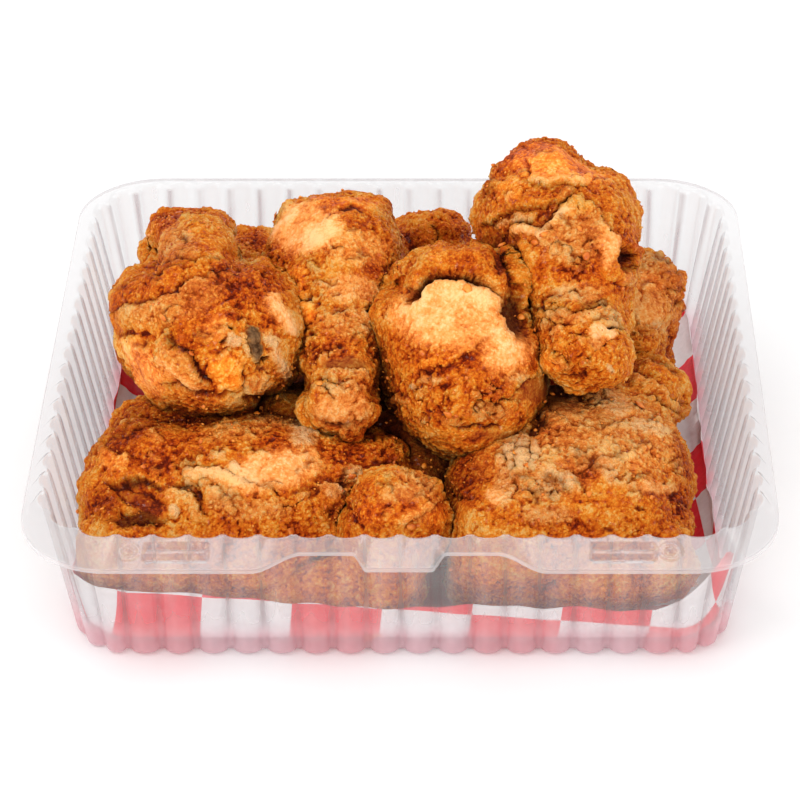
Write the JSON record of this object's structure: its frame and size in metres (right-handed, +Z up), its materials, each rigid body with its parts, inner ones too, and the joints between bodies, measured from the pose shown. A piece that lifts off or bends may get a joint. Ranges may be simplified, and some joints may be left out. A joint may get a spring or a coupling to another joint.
{
  "type": "fried chicken in a clear tray",
  "caption": "Heap of breaded fried chicken pieces on a red and white check paper liner in a square clear fluted plastic tray with a flat flange.",
  "frame": {"origin": "middle of the outer box, on the surface that the tray stands on", "axes": "+Z up, +X to the right, +Y to the back; the flange's thumb tab is at the front, towards -Y"},
  "size_m": [0.232, 0.2408, 0.1152],
  "materials": {
    "clear_plastic": "thin clear glossy thermoformed plastic",
    "check_paper": "greaseproof paper printed in red and white squares",
    "fried_crust": "crisp golden brown fried crust, slightly oily"
  },
  "bodies": {
    "root": {"tray": "clear_plastic", "liner": "check_paper", "drumstick_right": "fried_crust", "drumstick_middle": "fried_crust", "drumstick_left": "fried_crust", "thigh_middle": "fried_crust", "thigh_back_right": "fried_crust", "wing_front": "fried_crust", "breast_front_left": "fried_crust", "breast_front_right": "fried_crust", "thigh_back_left": "fried_crust", "wing_back": "fried_crust", "thigh_floor": "fried_crust"}
  },
  "joints": []
}
